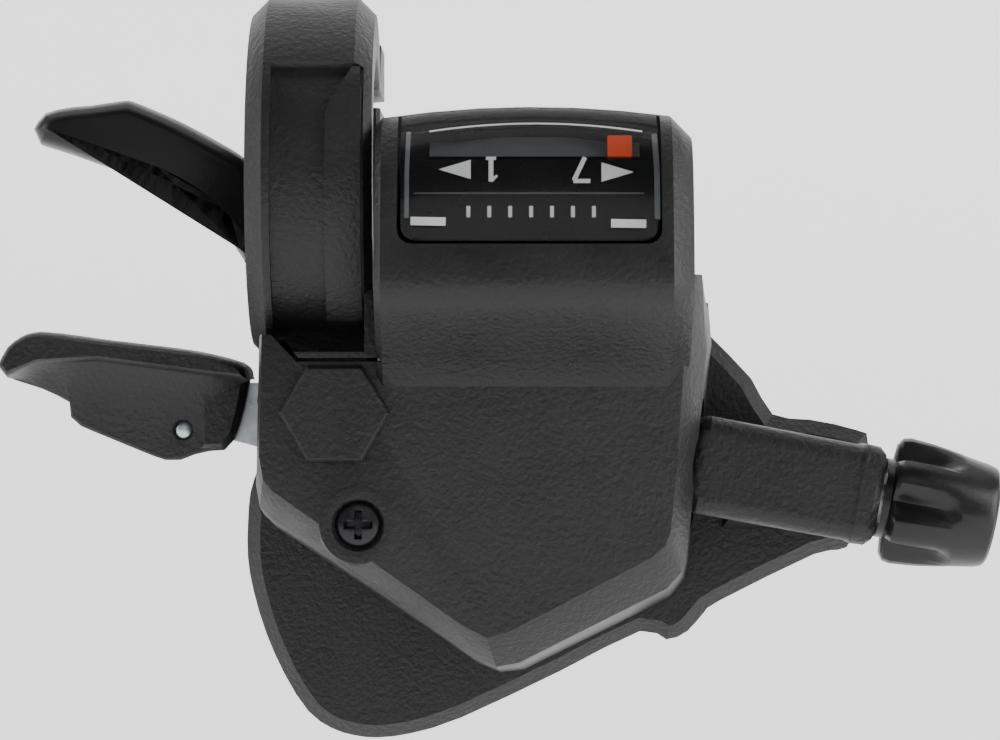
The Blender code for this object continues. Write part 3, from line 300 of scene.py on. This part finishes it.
def dial_prints_and_highlights():
    one = [
        ([(16.4, -1.0), (16.4, 1.2)], 0.42, 0.42),
        ([(16.4, -0.95), (16.95, -0.45)], 0.34, 0.2),
        ([(15.95, 1.1), (16.85, 1.1)], 0.3, 0.3),
    ]
    seven = [
        ([(23.7, -0.95), (25.2, -0.95)], 0.38, 0.38),
        ([(23.75, -0.9), (24.75, 1.2)], 0.40, 0.40),
    ]
    left_edge = [(9.05, 3.6), (8.95, 0.0), (8.95, -4.3)]
    right_edge = [(30.95, 3.4), (31.1, 0.0), (31.1, -4.4)]
    window_strip("print_one", one, WHITE)
    window_strip("print_seven", seven, WHITE)
    window_strip("print_arrow_left", [([(11.8, 0.1), (14.6, 0.1)], 0.05, 1.75)], WHITE)
    window_strip("print_arrow_right", [([(29.0, -0.15), (26.2, -0.15)], 0.05, 1.75)], WHITE)
    # painted reflection along the top of the window
    window_strip("painted_reflection_arc", [(arc_points(), 0.16, 0.16)], WHITE, ARC_DEPTH)
    window_strip("print_track", [([(10.9, 2.3), (29.7, 2.3)], 1.9, 1.9)], GREY_PRINT, TRACK_DEPTH)
    window_strip("print_rule", [([(9.6, -2.05), (30.0, -2.05)], 0.14, 0.14)], GREY_PRINT)
    # painted highlight: white strips of the lens's reflection band at its lower corners
    window_strip("painted_highlight_corner_left", [([(9.3, -4.55), (12.4, -4.6)], 0.75, 0.75)], WHITE, LENS_DEPTH)
    window_strip("painted_highlight_corner_right", [([(30.1, -4.8), (27.0, -4.75)], 0.75, 0.75)], WHITE, LENS_DEPTH)
    # painted highlight: lighter grey lines along the window's sides
    window_strip("painted_highlight_side_left", [(left_edge, 0.4, 0.4)], LENS_EDGE_HIGHLIGHT, LENS_DEPTH)
    window_strip("painted_highlight_side_right", [(right_edge, 0.5, 0.5)], LENS_EDGE_HIGHLIGHT, LENS_DEPTH)
    window_strip("print_ticks", tick_strokes(), WHITE)


# ---------------------------------------------------------------- view, floor and light
CAMERA_PLACE = (0.0172, -0.350, -0.0177)
CAMERA_LENS = 134.8
FLOOR_Z = -0.085
FLOOR_FRONT_Y = -0.60
FLOOR_HALF_WIDTH = 0.9
CURVE_Y = 0.22
CURVE_RADIUS = 0.12
CURVE_STEPS = 10
WALL_TOP_Z = 0.70
MIDDLE = (0.015, 0.0, -0.018)


def camera():
    data = bpy.data.cameras.new("photo_camera")
    data.lens = CAMERA_LENS
    data.sensor_width = 36.0
    data.clip_start = 0.01
    data.dof.use_dof = False
    thing = bpy.data.objects.new("photo_camera", data)
    thing.location = CAMERA_PLACE
    thing.rotation_euler = (math.radians(90.0), 0.0, 0.0)
    bpy.context.scene.collection.objects.link(thing)
    bpy.context.scene.camera = thing


def backdrop():
    """White floor that curves up into a backdrop."""
    profile = [(FLOOR_FRONT_Y, FLOOR_Z), (CURVE_Y, FLOOR_Z)]
    for i in range(1, CURVE_STEPS + 1):
        a = math.radians(90.0 * i / CURVE_STEPS)
        y = CURVE_Y + CURVE_RADIUS * math.sin(a)
        profile.append((y, FLOOR_Z + CURVE_RADIUS - CURVE_RADIUS * math.cos(a)))
    profile.append((CURVE_Y + CURVE_RADIUS, WALL_TOP_Z))
    mesh = bpy.data.meshes.new("studio_floor")
    verts = [(x, y, z) for x in (-FLOOR_HALF_WIDTH, FLOOR_HALF_WIDTH) for y, z in profile]
    count = len(profile)
    faces = [(i, i + 1, count + i + 1, count + i) for i in range(count - 1)]
    mesh.from_pydata(verts, [], faces)
    white, _, shader = shader_material("studio_white")
    shader.inputs["Base Color"].default_value = (0.85, 0.85, 0.85, 1.0)
    shader.inputs["Roughness"].default_value = 0.9
    shader.inputs["Emission Color"].default_value = (1.0, 1.0, 1.0, 1.0)
    shader.inputs["Emission Strength"].default_value = 0.85
    mesh.materials.append(white)
    mesh.shade_smooth()
    thing = bpy.data.objects.new("studio_floor", mesh)
    bpy.context.scene.collection.objects.link(thing)


def area(name, place, target, width, height, power):
    """Rectangular light at place that faces target."""
    data = bpy.data.lights.new(name, "AREA")
    data.shape = "RECTANGLE"
    data.size = width
    data.size_y = height
    data.energy = power
    thing = bpy.data.objects.new(name, data)
    thing.location = place
    thing.rotation_euler = (Vector(target) - Vector(place)).to_track_quat("-Z", "Y").to_euler()
    bpy.context.scene.collection.objects.link(thing)


def lights():
    area("key_right", (0.42, -0.16, 0.06), MIDDLE, 0.30, 0.40, 2.3)
    area("side_left", (-0.40, -0.12, 0.12), MIDDLE, 0.22, 0.34, 1.0)
    area("front_fill", (0.05, -0.62, 0.22), MIDDLE, 0.50, 0.30, 0.34)
    area("top_soft", (0.0, 0.05, 0.55), MIDDLE, 0.50, 0.40, 0.35)
    area("backdrop_wash", (0.0, 0.05, 0.50), (0.0, 0.34, 0.05), 0.9, 0.3, 1.0)
    world = bpy.data.worlds.new("studio_world")
    world.use_nodes = True
    background = world.node_tree.nodes["Background"]
    background.inputs["Color"].default_value = (0.95, 0.97, 1.0, 1.0)
    background.inputs["Strength"].default_value = 0.11
    bpy.context.scene.world = world


dress_nodes()
dial_prints_and_highlights()
camera()
backdrop()
lights()
